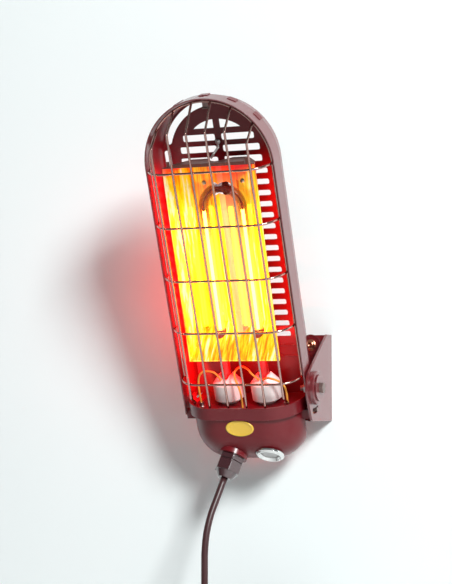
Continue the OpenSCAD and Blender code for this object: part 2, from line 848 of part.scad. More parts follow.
module ear_outline() {
  // Tangent points of the slanting edge and of the front edge on the pivot's round
  c = [-pivot_y, -pivot_z];
  a = [-ear_top, plate_h / 2];
  d = a - c;
  turn = acos(ear_r / norm(d));
  ang = atan2(d[1], d[0]) + turn;
  p = c + (ear_r - 0.03) * [cos(ang), sin(ang)];
  foot = [-ear_foot + ear_corner, -plate_h / 2 + ear_corner];
  e = foot - c;
  side = atan2(e[1], e[0]) - acos((ear_r - ear_corner) / norm(e));
  q = c + (ear_r - 0.03) * [cos(side), sin(side)];
  w = foot + (ear_corner - 0.03) * [cos(side), sin(side)];
  translate(c) circle(ear_r);
  translate(foot) circle(ear_corner);
  polygon([[0, plate_h / 2], a, p, c, q, w, foot, [foot[0], -plate_h / 2 + 0.03],
           [foot[0] + 2, -plate_h / 2], [0, -plate_h / 2]]);
}

module arc_slot(r, w, a0, a1) {
  intersection() {
    difference() {
      circle(r + w / 2);
      circle(r - w / 2);
    }
    polygon([[0, 0], 2 * r * [cos(a0), sin(a0)], 2 * r * [cos(a1), sin(a1)]]);
  }
  for (a = [a0, a1]) translate(r * [cos(a), sin(a)]) circle(w / 2 - 0.05);
}

module wall_bracket() {
  slot_w = stop_d + 2 * stop_gap;
  color(paint) difference() {
    union() {
      translate([-plate_w / 2, -plate_t, -plate_h / 2]) cube([plate_w, plate_t, plate_h]);
      translate([ear_x, 0, 0]) rotate([90, 0, 90]) linear_extrude(plate_t) ear_outline();
      for (x = [-1, 1], z = [-1, 1]) translate([x * hole_x / 2, -plate_t, z * hole_z / 2])
        rotate([90, 0, 0]) difference() {
          cylinder(r = ring_r + ring_w / 2, h = ring_h);
          translate([0, 0, -1]) cylinder(r = ring_r - ring_w / 2, h = 3);
        }
    }
    for (x = [-1, 1], z = [-1, 1]) translate([x * hole_x / 2, 1, z * hole_z / 2])
      rotate([90, 0, 0]) cylinder(d = hole_d, h = plate_t + 2);
    translate([ear_x - 1, -pivot_y, -pivot_z]) rotate([0, 90, 0])
      cylinder(d = bolt_d + 2 * run, h = plate_t + 2);
    translate([ear_x - 1, -pivot_y, -pivot_z]) rotate([90, 0, 90]) linear_extrude(plate_t + 2)
      arc_slot(stop_r, slot_w, stop_a[0] - 90, stop_a[1] - 90);
  }
}

module pivot_disc() {
  x = ear_x + plate_t;
  color(paint) translate([x, -pivot_y, -pivot_z]) rotate([0, 90, 0]) difference() {
    union() {
      cylinder(d = disc_d, h = disc_t - 1);
      translate([0, 0, disc_t - 1 - eps]) cylinder(d1 = disc_d, d2 = disc_d - 2, h = 1 + eps);
    }
    translate([0, 0, -1]) cylinder(d = bolt_d + 2 * run, h = disc_t + 2);
  }
}

// Parts of the pivot that turn with the heater, along its own X axis
module on_pivot(x) {
  heater() translate([x, 0, 0]) rotate([0, 90, 0]) children();
}

washer_x = arch_r + ear_gap + plate_t + disc_t + run;

module pivot_washer() {
  color(steel) on_pivot(washer_x) difference() {
    cylinder(d = washer_d, h = washer_t);
    translate([0, 0, -1]) cylinder(d = bolt_d + 0.2, h = washer_t + 2);
  }
}

module pivot_bolt() {
  inner = arch_r - sheet - 9;
  color(steel) on_pivot(0) {
    translate([0, 0, inner]) cylinder(d = bolt_d, h = washer_x + washer_t - inner + eps);
    translate([0, 0, washer_x + washer_t]) hex_prism(bolt_af, bolt_h);
  }
}

module pivot_spacer() {
  color(steel) on_pivot(arch_r) difference() {
    cylinder(d = 16, h = ear_gap - run);
    translate([0, 0, -1]) cylinder(d = bolt_d + 0.2, h = 5);
  }
}

module pivot_nut() {
  color(steel) on_pivot(arch_r - sheet - 5) difference() {
    union() {
      hex_prism(bolt_af, 4);
      translate([0, 0, 4 - eps]) cylinder(d = 12.4, h = 1 + eps);
    }
    translate([0, 0, -1]) cylinder(d = bolt_d + 0.1, h = 8);
  }
}

module stop_pin() {
  x0 = arch_r - sheet;
  head_x = arch_r + ear_gap + plate_t + run;
  color(steel) heater() translate([0, 0, -stop_r]) rotate([0, 90, 0]) {
    translate([0, 0, x0 - 1]) cylinder(d = stop_d - 0.1, h = head_x - x0 + 1.5);
    translate([0, 0, x0 - 1.5]) cylinder(d = stop_d + 1.2, h = 1.5);
  }
}

// Cord

function ring(c, t, r, n) = let (u = unit(cross(t, [0, 1, 0])), v = cross(u, t))
  [for (i = [0 : n - 1]) c + r * (cos(360 * i / n) * u + sin(360 * i / n) * v)];
function tangents(p) = [for (i = [0 : len(p) - 1])
  unit(p[min(i + 1, len(p) - 1)] - p[max(i - 1, 0)])];

module tube(p, t, r, n) {
  m = len(p);
  verts = [for (i = [0 : m - 1]) each ring(p[i], t[i], r, n)];
  sides = [for (i = [0 : m - 2], j = [0 : n - 1])
    let (a = i * n + j, b = i * n + (j + 1) % n)
    each [[a, b, a + n], [b, b + n, a + n]]];
  first = [for (j = [1 : n - 2]) [0, j + 1, j]];
  last = [for (j = [1 : n - 2]) let (k = (m - 1) * n) [k, k + j, k + j + 1]];
  polyhedron(verts, concat(sides, first, last));
}

module cord_lead() {
  color(black) tube(cord_path, tangents(cord_path), cord_d / 2, 12);
}

// The wound length spirals in, climbs to the second layer at the reversal and spirals out
function wind_radius(n) = wind_r - wind_pitch * (n < wind_turns ? n : 2 * wind_turns - n);
function wind_climb(n) = let (s = max(0, min(1, 2 * (n - wind_turns) + 0.5)))
  wind_pitch * (1 - cos(180 * s)) / 2;
function wind_point(n) = coil_at
  + [-wind_radius(n) * cos(360 * n), wind_climb(n), -wind_radius(n) * sin(360 * n)];
wind_pts = concat(
  [coil_at + [-wind_r, 0, cord_d]],
  [for (i = [0 : 2 * wind_turns * wind_steps]) wind_point(i / wind_steps)],
  [coil_at + [-wind_r, wind_pitch, -cord_d], coil_at + [-wind_r, wind_pitch, -tail]]
);
wind_dirs = [for (i = [0 : len(wind_pts) - 1])
  i < 2 || i > len(wind_pts) - 4 ? [0, 0, -1] : tangents(wind_pts)[i]];

module cord_coil() {
  gap = min([for (i = [2 : 2 : len(wind_pts) - 14], j = [i + 12 : len(wind_pts) - 3])
    norm(wind_pts[i] - wind_pts[j])]) - cord_d;
  echo(least_gap_of_coil = gap);
  color(black) tube(wind_pts, wind_dirs, cord_d / 2, 6);
}

module cord_tie() {
  r0 = wind_r - wind_pitch * wind_turns - cord_d / 2 - 1;
  r1 = wind_r + cord_d / 2;
  y0 = -cord_d / 2 - seat;
  y1 = wind_pitch + cord_d / 2 + seat;
  color(black) translate(coil_at + [-5, 0, 0]) difference() {
    translate([0, y0 - 1.5, r0 - 1.5]) cube([10, y1 - y0 + 3, r1 - r0 + 3]);
    translate([-1, y0, r0]) cube([12, y1 - y0, r1 - r0]);
  }
}

plug_at = coil_at + [-wind_r, wind_pitch, -tail];

module plug_body() {
  color(black) translate(plug_at) mirror([0, 0, 1]) difference() {
    union() {
      cylinder(d1 = cord_d + 3, d2 = cord_d + 9, h = plug_relief);
      translate([0, 0, plug_relief - eps]) cylinder(d1 = plug_d - 8, d2 = plug_d, h = 8);
      translate([0, 0, plug_relief + 8 - 2 * eps]) cylinder(d = plug_d, h = plug_h - 8);
    }
    for (s = [-1, 1]) translate([s * pin_gap / 2, 0, plug_relief + plug_h - 8])
      cylinder(d = pin_d, h = 10);
  }
}

module plug_pins() {
  color(steel) translate(plug_at) mirror([0, 0, 1]) for (s = [-1, 1])
    translate([s * pin_gap / 2, 0, plug_relief + plug_h - 8]) {
      cylinder(d = pin_d, h = 8 + pin_l - pin_d / 2);
      translate([0, 0, 8 + pin_l - pin_d / 2]) sphere(d = pin_d);
    }
}

wall_bracket();
pivot_disc();
pivot_bolt();
pivot_washer();
pivot_spacer();
pivot_nut();
stop_pin();
housing_band();
apex_clip();
back_panel();
panel_tabs();
side_screws();
reflector();
reflector_cap();
reflector_posts();
reflector_rivets();
top_hook();
lamp_tube();
lamp_ends();
lamp_coil();
lamp_bridge();
lamp_holder_left();
lamp_holder_right();
lamp_shelf();
lamp_leads();
lead_eyelets();
wire_guard();
base_collar();
base_cup();
terminal_block();
gland_body();
gland_seal();
gland_nut();
gland_locknut();
switch_bezel();
switch_button();
switch_locknut();
cord_lead();
cord_coil();
cord_tie();
plug_body();
plug_pins();
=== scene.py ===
"""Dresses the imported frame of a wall-mounted infrared patio heater and lights it on a white wall.

The heater is an arched red housing with a chrome wire guard, a polished W reflector and a
glowing U-shaped quartz lamp. Everything is in metres in the frame of the wall plate: +X is
right, +Y goes into the wall and +Z is up.
"""

import logging
import math
from dataclasses import dataclass
from enum import Enum

import bpy
import numpy as np
from mathutils import Matrix, Vector

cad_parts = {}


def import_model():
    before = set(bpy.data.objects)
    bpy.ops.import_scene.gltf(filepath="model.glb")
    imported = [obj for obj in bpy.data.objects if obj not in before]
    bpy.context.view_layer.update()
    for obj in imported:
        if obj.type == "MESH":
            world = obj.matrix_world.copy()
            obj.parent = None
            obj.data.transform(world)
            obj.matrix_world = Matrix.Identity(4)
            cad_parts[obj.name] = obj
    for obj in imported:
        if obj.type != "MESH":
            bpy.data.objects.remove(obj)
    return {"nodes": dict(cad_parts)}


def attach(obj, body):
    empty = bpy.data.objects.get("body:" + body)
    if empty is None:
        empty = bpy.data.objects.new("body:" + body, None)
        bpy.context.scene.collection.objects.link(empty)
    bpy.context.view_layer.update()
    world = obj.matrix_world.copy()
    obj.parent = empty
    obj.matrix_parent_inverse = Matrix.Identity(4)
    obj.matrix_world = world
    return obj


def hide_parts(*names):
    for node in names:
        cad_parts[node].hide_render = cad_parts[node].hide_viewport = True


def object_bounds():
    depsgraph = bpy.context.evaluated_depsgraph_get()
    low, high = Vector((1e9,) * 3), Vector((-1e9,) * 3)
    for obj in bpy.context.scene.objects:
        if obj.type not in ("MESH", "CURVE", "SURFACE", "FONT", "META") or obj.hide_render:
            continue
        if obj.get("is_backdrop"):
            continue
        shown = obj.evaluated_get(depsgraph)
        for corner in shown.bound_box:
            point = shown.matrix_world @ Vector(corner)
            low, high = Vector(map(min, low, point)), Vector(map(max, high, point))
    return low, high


LOG = logging.getLogger("heater")
Vec = tuple[float, float, float]
MM = 0.001
BLACK = (0.0, 0.0, 0.0)
TURN = 2 * np.pi

# Which way the face of the reflector with the painted filament reflection looks, in the wall's frame
OUT_OF_HOUSING = (0.0, -0.92, -0.39)

# Middle of the reflector's ridge and half of its width, in metres
RIDGE_X = -0.019
RIDGE_HALF = 0.014

# How much of the ridge's right face gets a dull painted reflection of the room in place of the painted
# filament reflection
RIDGE_DULL = 0.85

# How much of the glow is kept from matt surfaces, so that they don't turn yellow
DIFFUSE_CUT = 0.85


class Body(Enum):
    """The bodies of the part that pieces ride on."""

    BRACKET = "bracket"
    HEATER = "heater"


# Geometry helpers


def ring_faces(rows: int, sides: int) -> np.ndarray:
    """Quads between rings of points that are stored ring by ring.

    Args:
        rows: number of rings.
        sides: number of points in a ring.

    Returns:
        An array of four indices for each quad.
    """
    a, b = np.meshgrid(np.arange(rows - 1), np.arange(sides), indexing="ij")
    a, b = a.ravel() * sides, b.ravel()
    b1 = (b + 1) % sides
    return np.stack([a + b, a + b1, a + sides + b1, a + sides + b], axis=1)


def make_piece(name: str, verts: np.ndarray, faces: list, body: Body) -> bpy.types.Object:
    """Puts points and faces into a smooth mesh that rides on a body.

    Args:
        name: the piece's name.
        verts: points in metres, one row each.
        faces: lists of point indices.
        body: the body it rides on.

    Returns:
        The new object, at the origin.
    """
    mesh = bpy.data.meshes.new(name)
    points = [tuple(v) for v in np.asarray(verts, float)]
    mesh.from_pydata(points, [], [tuple(int(i) for i in f) for f in faces])
    mesh.polygons.foreach_set("use_smooth", [True] * len(mesh.polygons))
    mesh.update()
    obj = bpy.data.objects.new(name, mesh)
    bpy.context.scene.collection.objects.link(obj)
    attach(obj, body.value)
    return obj


def path_frames(path: np.ndarray) -> tuple[np.ndarray, np.ndarray]:
    """Two sideways directions at each point of a path, carried along it with no twist.

    Args:
        path: points of the path, one row each.

    Returns:
        Two arrays of unit vectors, square to the path and to each other.
    """
    t = np.gradient(path, axis=0)
    t /= np.linalg.norm(t, axis=1, keepdims=True)
    start = np.array([0.0, 1.0, 0.0]) if abs(t[0, 1]) < 0.9 else np.array([1.0, 0.0, 0.0])
    us = [start - t[0] * (start @ t[0])]
    for k in range(1, len(path)):
        u = us[-1] - t[k] * (us[-1] @ t[k])
        us.append(u / np.linalg.norm(u))
    u = np.array(us) / np.linalg.norm(us, axis=1, keepdims=True)
    return u, np.cross(t, u)


def capped_rings(rows: int, sides: int) -> list:
    """Faces of a stack of rings, closed at both ends.

    Args:
        rows: number of rings.
        sides: points in each ring.

    Returns:
        Lists of point indices.
    """
    last = (rows - 1) * sides
    faces = ring_faces(rows, sides).tolist()
    faces.append(list(range(sides))[::-1])
    faces.append(list(range(last, last + sides)))
    return faces


def tube(path: np.ndarray, radius: float, sides: int) -> tuple[np.ndarray, list]:
    """A round tube: each point is the path's point plus the radius round two sideways directions.

    Args:
        path: points of the centreline, one row each.
        radius: the tube's radius.
        sides: points in each ring.

    Returns:
        The points and the faces, closed at both ends.
    """
    u, v = path_frames(path)
    a = np.linspace(0, TURN, sides, endpoint=False)
    ring = np.cos(a)[None, :, None] * u[:, None, :] + np.sin(a)[None, :, None] * v[:, None, :]
    verts = (path[:, None, :] + radius * ring).reshape(-1, 3)
    return verts, capped_rings(len(path), sides)


def lathe(
    profile: np.ndarray, origin: np.ndarray, axis: np.ndarray, steps: int
) -> tuple[np.ndarray, list]:
    """A turned form: each profile point (radius, height) goes round the axis in equal steps.

    Args:
        profile: rows of radius and height, from one pole to the other.
        origin: a point on the axis at height zero.
        axis: the axis direction.
        steps: points round the axis.

    Returns:
        The points and the faces, with both ends closed.
    """
    w = np.asarray(axis, float) / np.linalg.norm(axis)
    side = np.array([1.0, 0.0, 0.0]) if abs(w[0]) < 0.9 else np.array([0.0, 1.0, 0.0])
    u = np.cross(w, side)
    u /= np.linalg.norm(u)
    v = np.cross(w, u)
    a = np.linspace(0, TURN, steps, endpoint=False)
    ring = np.cos(a)[:, None] * u + np.sin(a)[:, None] * v
    radius, height = profile[:, 0, None, None], profile[:, 1, None, None]
    verts = (origin + height * w + radius * ring).reshape(-1, 3)
    return verts, capped_rings(len(profile), steps)


@dataclass(frozen=True)
class HeaterFrame:
    """Where the tilted heater's own frame sits at rest."""

    pivot: Vec = (-19.0, -60.0, -11.25)
    tilt: float = 23.0

    def place(self, points: np.ndarray) -> np.ndarray:
        """Turns points of the heater's own frame, in mm, into metres of the wall's frame.

        Args:
            points: rows of x, y, z in mm.

        Returns:
            The same points in metres at rest.
        """
        p = np.atleast_2d(np.asarray(points, float))
        c, s = math.cos(math.radians(self.tilt)), math.sin(math.radians(self.tilt))
        turned = np.stack([p[:, 0], p[:, 1] * c - p[:, 2] * s, p[:, 1] * s + p[:, 2] * c], axis=1)
        return (turned + np.array(self.pivot)) * MM


# Shader groups and finishes


def new_group(
    name: str, inputs: dict[str, float], outputs: dict[str, str]
) -> bpy.types.NodeTree:
    """Starts a shader node group with named sockets.

    Args:
        name: the group's name.
        inputs: default of each input, all numbers.
        outputs: kind of each output, "Float" or "Vector".

    Returns:
        The node tree, with its Group Input and Group Output nodes named "in" and "out".
    """
    tree = bpy.data.node_groups.new(name, "ShaderNodeTree")
    for label, value in inputs.items():
        socket = tree.interface.new_socket(name=label, in_out="INPUT", socket_type="NodeSocketFloat")
        socket.default_value = value
    for label, kind in outputs.items():
        tree.interface.new_socket(name=label, in_out="OUTPUT", socket_type="NodeSocket" + kind)
    tree.nodes.new("NodeGroupInput").name = "in"
    tree.nodes.new("NodeGroupOutput").name = "out"
    return tree


def math_node(tree: bpy.types.NodeTree, kind: str, a: object, b: object) -> bpy.types.NodeSocket:
    """Adds a Math node whose inputs are sockets or numbers.

    Args:
        tree: the node tree.
        kind: the operation.
        a: the first socket or number.
        b: the second socket or number.

    Returns:
        The node's output socket.
    """
    node = tree.nodes.new("ShaderNodeMath")
    node.operation = kind
    for i, value in enumerate((a, b)):
        if isinstance(value, (int, float)):
            node.inputs[i].default_value = value
        else:
            tree.links.new(value, node.inputs[i])
    return node.outputs[0]


def clamped(tree: bpy.types.NodeTree, value: bpy.types.NodeSocket) -> bpy.types.NodeSocket:
    """Keeps a value between zero and one.

    Args:
        tree: the node tree.
        value: the value's socket.

    Returns:
        The clamped value's socket.
    """
    return math_node(tree, "MINIMUM", math_node(tree, "MAXIMUM", value, 0.0), 1.0)


def mix_node(
    tree: bpy.types.NodeTree, factor: bpy.types.NodeSocket, a: bpy.types.NodeSocket | Vec, b: Vec
) -> bpy.types.NodeSocket:
    """Adds a Mix node for colours.

    Args:
        tree: the node tree.
        factor: the share of the second colour.
        a: the first colour, or a socket that gives it.
        b: the second colour.

    Returns:
        The mixed colour's socket.
    """
    mix = tree.nodes.new("ShaderNodeMix")
    mix.data_type = "RGBA"
    mix.inputs["B"].default_value = (*b, 1.0)
    tree.links.new(factor, mix.inputs["Factor"])
    if isinstance(a, tuple):
        mix.inputs["A"].default_value = (*a, 1.0)
    else:
        tree.links.new(a, mix.inputs["A"])
    return mix.outputs["Result"]


def noise_node(tree: bpy.types.NodeTree, scale: float, detail: float = 2.0) -> bpy.types.Node:
    """Adds a noise texture that sticks to the object.

    Args:
        tree: the node tree.
        scale: its scale.
        detail: its number of octaves.

    Returns:
        The noise node.
    """
    coord = tree.nodes.new("ShaderNodeTexCoord")
    noise = tree.nodes.new("ShaderNodeTexNoise")
    noise.inputs["Scale"].default_value = scale
    noise.inputs["Detail"].default_value = detail
    tree.links.new(coord.outputs["Object"], noise.inputs["Vector"])
    return noise


class Effects:
    """The shader groups that more than one finish uses, each built once."""

    def __init__(self) -> None:
        """Builds the groups."""
        self.grain = self._grain()
        self.wear = self._wear()
        self.top_band = self._top_ramp()
        self.streaks = self._streaks()

    def _grain(self) -> bpy.types.NodeTree:
        """Fine unevenness: a small noise for height and a slow one for roughness.

        Returns:
            The group, with Height, Roughness and Mask outputs.
        """
        tree = new_group(
            "surface_grain",
            {"Scale": 400.0, "Base": 0.3, "Spread": 0.1},
            {"Height": "Float", "Roughness": "Float", "Mask": "Float"},
        )
        src, out = tree.nodes["in"], tree.nodes["out"]
        fine = noise_node(tree, 400.0, 3.0)
        slow = noise_node(tree, 22.0, 4.0)
        tree.links.new(src.outputs["Scale"], fine.inputs["Scale"])
        swing = math_node(tree, "SUBTRACT", slow.outputs["Fac"], 0.5)
        swing = math_node(tree, "MULTIPLY", swing, src.outputs["Spread"])
        rough = math_node(tree, "ADD", swing, src.outputs["Base"])
        tree.links.new(fine.outputs["Fac"], out.inputs["Height"])
        tree.links.new(rough, out.inputs["Roughness"])
        tree.links.new(slow.outputs["Fac"], out.inputs["Mask"])
        return tree

    def _wear(self) -> bpy.types.NodeTree:
        """Rubbed edges: where the rounded normal leaves the flat one, broken up by noise.

        Returns:
            The group, with Mask and Normal outputs.
        """
        sockets = {"Mask": "Float", "Normal": "Vector"}
        tree = new_group("edge_wear", {"Radius": 0.0008, "Amount": 1.0}, sockets)
        src, out = tree.nodes["in"], tree.nodes["out"]
        bevel = tree.nodes.new("ShaderNodeBevel")
        bevel.samples = 4
        tree.links.new(src.outputs["Radius"], bevel.inputs["Radius"])
        geo = tree.nodes.new("ShaderNodeNewGeometry")
        dot = tree.nodes.new("ShaderNodeVectorMath")
        dot.operation = "DOT_PRODUCT"
        tree.links.new(bevel.outputs["Normal"], dot.inputs[0])
        tree.links.new(geo.outputs["Normal"], dot.inputs[1])
        edge = math_node(tree, "SUBTRACT", 1.0, dot.outputs["Value"])
        chips = noise_node(tree, 160.0)
        gate = math_node(tree, "GREATER_THAN", chips.outputs["Fac"], 0.62)
        worn = math_node(tree, "MULTIPLY", edge, gate)
        worn = math_node(tree, "MULTIPLY", worn, src.outputs["Amount"])
        tree.links.new(math_node(tree, "MINIMUM", worn, 1.0), out.inputs["Mask"])
        tree.links.new(bevel.outputs["Normal"], out.inputs["Normal"])
        return tree

    def _top_ramp(self) -> bpy.types.NodeTree:
        """Patches towards the top: a ramp over Z, stirred by noise. On the reflector they redden and
        dim its painted reflection; on the quartz tube they dim the lamp's glow at the bend.

        Returns:
            The group, with a Mask output from 0 at Low to 1 at High.
        """
        tree = new_group("top_patches", {"Low": 0.0, "High": 0.2, "Stir": 0.3}, {"Mask": "Float"})
        src, out = tree.nodes["in"], tree.nodes["out"]
        coord = tree.nodes.new("ShaderNodeTexCoord")
        split = tree.nodes.new("ShaderNodeSeparateXYZ")
        noise = noise_node(tree, 45.0)
        tree.links.new(coord.outputs["Object"], split.inputs["Vector"])
        height = math_node(tree, "SUBTRACT", split.outputs["Z"], src.outputs["Low"])
        span = math_node(tree, "SUBTRACT", src.outputs["High"], src.outputs["Low"])
        ramp = math_node(tree, "DIVIDE", height, span)
        swing = math_node(tree, "SUBTRACT", noise.outputs["Fac"], 0.5)
        swing = math_node(tree, "MULTIPLY", swing, src.outputs["Stir"])
        tree.links.new(clamped(tree, math_node(tree, "ADD", ramp, swing)), out.inputs["Mask"])
        return tree

    def _streaks(self) -> bpy.types.NodeTree:
        """Painted reflection: bright streaks along the tilted housing, as bent sheet shows when it
        mirrors a filament.

        Returns:
            The group, with a Mask output.
        """
        tree = new_group("painted_filament_streaks", {"Fine": 1.0}, {"Mask": "Float"})
        src, out = tree.nodes["in"], tree.nodes["out"]
        coord = tree.nodes.new("ShaderNodeTexCoord")
        turn = tree.nodes.new("ShaderNodeMapping")
        turn.inputs["Rotation"].default_value = (math.radians(-20.7), 0.0, 0.0)
        scale = tree.nodes.new("ShaderNodeVectorMath")
        scale.operation = "MULTIPLY"
        scale.inputs[1].default_value = (260.0, 30.0, 14.0)
        noise = tree.nodes.new("ShaderNodeTexNoise")
        noise.inputs["Detail"].default_value = 5.0
        noise.inputs["Roughness"].default_value = 0.62
        tree.links.new(coord.outputs["Object"], turn.inputs["Vector"])
        tree.links.new(turn.outputs["Vector"], scale.inputs[0])
        tree.links.new(scale.outputs["Vector"], noise.inputs["Vector"])
        tree.links.new(src.outputs["Fine"], noise.inputs["Scale"])
        steep = math_node(tree, "SUBTRACT", noise.outputs["Fac"], 0.42)
        steep = math_node(tree, "MULTIPLY", steep, 5.0)
        tree.links.new(clamped(tree, steep), out.inputs["Mask"])
        return tree


@dataclass(frozen=True)
class Finish:
    """One material: a colour pair with grain, worn edges and the shader's plain values.

    Attributes:
        name: the material's name.
        color: the main colour.
        alt_color: the colour that slow noise mixes in.
        roughness: the mean roughness.
        spread: how far the roughness swings.
        grain: scale of the fine grain.
        bump: strength of the fine grain.
        metallic: one for bare metal.
        coat: weight of the clear coat.
        alpha: less than one lets what is behind show.
        edge: radius of the softened edges in metres.
        worn: how much the edges are rubbed.
        worn_color: the colour of rubbed edges.
        glow: the emitted colour; lamp light on the coil and the tube, painted light on the reflector
            and the lamp feet.
        glow_strength: the emission's strength.
        top_band: the two heights between which the top patches set in, in metres.
        top_color: the colour of the top patches, in the base colour and, on the reflector, as red
            blotches in its painted reflection.
        fade: how much of the glow the top patches take away.
        streaky: whether the glow is a painted reflection of the filament in streaks.
        gloss: the shader's specular level.
        coat_ior: the clear coat's index of refraction.
    """

    name: str
    color: Vec
    alt_color: Vec
    roughness: float = 0.4
    spread: float = 0.12
    grain: float = 400.0
    bump: float = 0.05
    metallic: float = 0.0
    coat: float = 0.0
    alpha: float = 1.0
    edge: float = 0.0006
    worn: float = 0.0
    worn_color: Vec = (0.5, 0.45, 0.42)
    glow: Vec = BLACK
    glow_strength: float = 0.0
    top_band: tuple[float, float] = (0.0, 0.0)
    top_color: Vec = (0.8, 0.2, 0.05)
    fade: float = 1.0
    streaky: bool = False
    gloss: float = 0.5
    coat_ior: float = 1.5

    def build(self, effects: Effects) -> bpy.types.Material:
        """Builds the material from the shared groups.

        Args:
            effects: the shared shader groups.

        Returns:
            The material.
        """
        mat = bpy.data.materials.new(self.name)
        mat.use_nodes = True
        tree = mat.node_tree
        shader = tree.nodes["Principled BSDF"]
        grain = self._use(
            tree, effects.grain, Scale=self.grain, Base=self.roughness, Spread=self.spread
        )
        wear = self._use(tree, effects.wear, Radius=self.edge, Amount=self.worn)
        base = mix_node(tree, grain.outputs["Mask"], self.color, self.alt_color)
        if self.has_top_band:
            base = mix_node(tree, self._top_band_mask(tree, effects), base, self.top_color)
        base = mix_node(tree, wear.outputs["Mask"], base, self.worn_color)
        tree.links.new(base, shader.inputs["Base Color"])
        tree.links.new(grain.outputs["Roughness"], shader.inputs["Roughness"])
        bump = tree.nodes.new("ShaderNodeBump")
        bump.inputs["Strength"].default_value = self.bump
        bump.inputs["Distance"].default_value = 0.0004
        tree.links.new(grain.outputs["Height"], bump.inputs["Height"])
        tree.links.new(wear.outputs["Normal"], bump.inputs["Normal"])
        tree.links.new(bump.outputs["Normal"], shader.inputs["Normal"])
        plain = {
            "Metallic": self.metallic,
            "Specular IOR Level": self.gloss,
            "Coat Weight": self.coat,
            "Coat Roughness": 0.2,
            "Coat IOR": self.coat_ior,
            "Alpha": self.alpha,
            "Emission Color": (*self.glow, 1.0),
        }
        for label, value in plain.items():
            shader.inputs[label].default_value = value
        if self.glow_strength > 0:
            self._light_up(tree, effects, shader, grain.outputs["Mask"])
        return mat

    @property
    def has_top_band(self) -> bool:
        """Whether the finish has top patches."""
        return self.top_band[1] > self.top_band[0]

    def _use(
        self, tree: bpy.types.NodeTree, group: bpy.types.NodeTree, **values: float
    ) -> bpy.types.Node:
        """Adds a shared group with this finish's values.

        Args:
            tree: the material's node tree.
            group: the group.
            values: a value for each of the group's inputs that is set.

        Returns:
            The group's node.
        """
        node = tree.nodes.new("ShaderNodeGroup")
        node.node_tree = group
        for label, value in values.items():
            node.inputs[label].default_value = value
        return node

    def _top_band_mask(self, tree: bpy.types.NodeTree, effects: Effects) -> bpy.types.NodeSocket:
        """Adds the top patches between this finish's two heights.

        Args:
            tree: the material's node tree.
            effects: the shared shader groups.

        Returns:
            The mask's socket.
        """
        return self._use(tree, effects.top_band, Low=self.top_band[0], High=self.top_band[1]).outputs["Mask"]

    def _light_up(
        self,
        tree: bpy.types.NodeTree,
        effects: Effects,
        shader: bpy.types.Node,
        patches: bpy.types.NodeSocket,
    ) -> None:
        """Makes the surface glow: full for the eye and for mirrors, weak for matt surfaces around it.
        On the coil and the tube this is the lamp's light; on the reflector and the lamp feet it is
        painted light.

        Args:
            tree: the material's node tree.
            effects: the shared shader groups.
            shader: the material's shader.
            patches: a slow noise that breaks up the colour.
        """
        rays = tree.nodes.new("ShaderNodeLightPath")
        cut = math_node(tree, "MULTIPLY", rays.outputs["Is Diffuse Ray"], DIFFUSE_CUT)
        power = math_node(tree, "MULTIPLY", math_node(tree, "SUBTRACT", 1.0, cut), self.glow_strength)
        if self.has_top_band:
            top_band = self._top_band_mask(tree, effects)
            left = math_node(tree, "SUBTRACT", 1.0, math_node(tree, "MULTIPLY", top_band, self.fade))
            power = math_node(tree, "MULTIPLY", power, left)
        if self.streaky:
            power = math_node(tree, "MULTIPLY", power, self._front(tree))
            color = self._painted_reflection(tree, effects, top_band, patches)
            tree.links.new(color, shader.inputs["Emission Color"])
        tree.links.new(power, shader.inputs["Emission Strength"])

    def _painted_reflection(
        self,
        tree: bpy.types.NodeTree,
        effects: Effects,
        top_band: bpy.types.NodeSocket,
        patches: bpy.types.NodeSocket,
    ) -> bpy.types.NodeSocket:
        """The painted reflection of the filament in the bent sheet: streaks, a dull ridge and red
        blotches on top.

        Args:
            tree: the material's node tree.
            effects: the shared shader groups.
            top_band: the mask of the top patches, where the painted reflection turns into red blotches.
            patches: a slow noise that breaks up the colour.

        Returns:
            The colour's socket.
        """
        streaks = self._use(tree, effects.streaks)
        # Colours of the painted filament reflection, from red between the streaks to pale yellow in
        # them.
        ramp = tree.nodes.new("ShaderNodeValToRGB")
        ramp.color_ramp.elements[0].color = (0.95, 0.2, 0.0, 1.0)
        ramp.color_ramp.elements[1].color = (1.0, 0.95, 0.55, 1.0)
        stops = ((0.25, (1.0, 0.5, 0.0)), (0.5, (1.0, 0.72, 0.01)), (0.8, (1.0, 0.82, 0.08)))
        for at, color in stops:
            ramp.color_ramp.elements.new(at).color = (*color, 1.0)
        tree.links.new(streaks.outputs["Mask"], ramp.inputs["Fac"])
        # Red painted blotches in the reflection where the top patches are.
        blotch = math_node(tree, "MULTIPLY", math_node(tree, "SUBTRACT", patches, 0.47), 14.0)
        blotch = math_node(tree, "MULTIPLY", top_band, clamped(tree, blotch))
        # A dull painted reflection of the room on the ridge's right face.
        sheet = mix_node(tree, self._ridge(tree), ramp.outputs["Color"], (0.62, 0.27, 0.15))
        return mix_node(tree, blotch, sheet, self.top_color)

    def _front(self, tree: bpy.types.NodeTree) -> bpy.types.NodeSocket:
        """One where the sheet faces out of the housing, zero on its back.

        Args:
            tree: the material's node tree.

        Returns:
            The mask's socket.
        """
        geo = tree.nodes.new("ShaderNodeNewGeometry")
        dot = tree.nodes.new("ShaderNodeVectorMath")
        dot.operation = "DOT_PRODUCT"
        dot.inputs[1].default_value = OUT_OF_HOUSING
        tree.links.new(geo.outputs["Normal"], dot.inputs[0])
        return math_node(tree, "GREATER_THAN", dot.outputs["Value"], -0.02)

